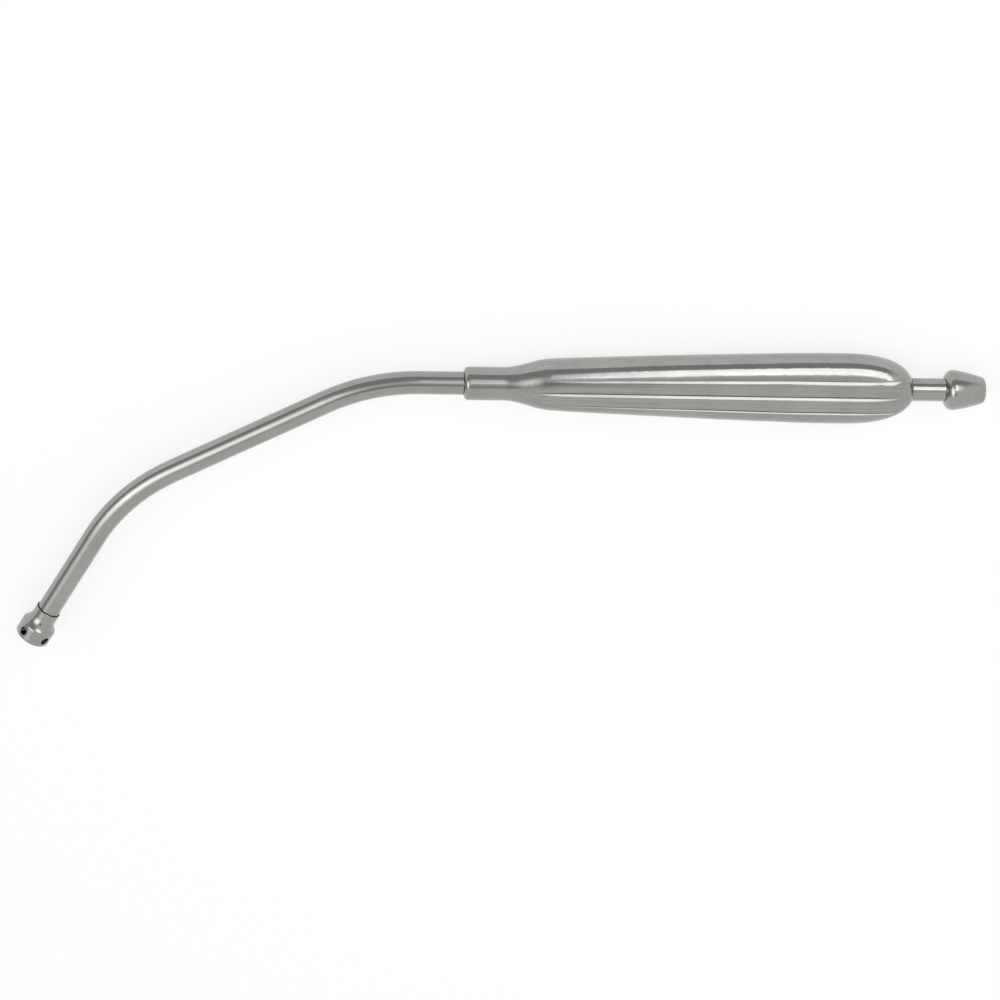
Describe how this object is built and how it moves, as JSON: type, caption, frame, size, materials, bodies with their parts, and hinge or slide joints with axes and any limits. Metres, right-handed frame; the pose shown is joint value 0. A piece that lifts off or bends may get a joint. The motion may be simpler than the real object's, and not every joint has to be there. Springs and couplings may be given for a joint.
{
  "type": "yankauer suction tube",
  "caption": "Twice-bent metal suction tube for the mouth and throat, with a hollow fluted handle, a screw-off perforated tip and a cone connector for a suction hose.",
  "frame": {"origin": "centre of the open end of the hose connector, on the handle's axis", "axes": "+X leaves the hose connector along the handle's axis; the two bends lie in the XY plane and turn the tip towards -Y; +Z is square to a broad face of the handle"},
  "size_m": [0.2752, 0.0978, 0.0132],
  "materials": {
    "drawn_steel": "satin, brushed along the tube",
    "turned_steel": "satin, with fine turning marks round its axis",
    "pressed_steel": "satin, brushed along the handle, brighter on the groove flanks"
  },
  "bodies": {
    "instrument": {"suction_tube": "drawn_steel", "handle_shell_upper": "pressed_steel", "handle_shell_lower": "pressed_steel", "hose_connector": "turned_steel"},
    "tip": {"tip_head": "turned_steel"}
  },
  "joints": [
    {"name": "tip_unscrew", "type": "slide", "parent": "instrument", "child": "tip", "axis": [-0.484, -0.875, 0], "range_m": [0, 0.01]}
  ]
}
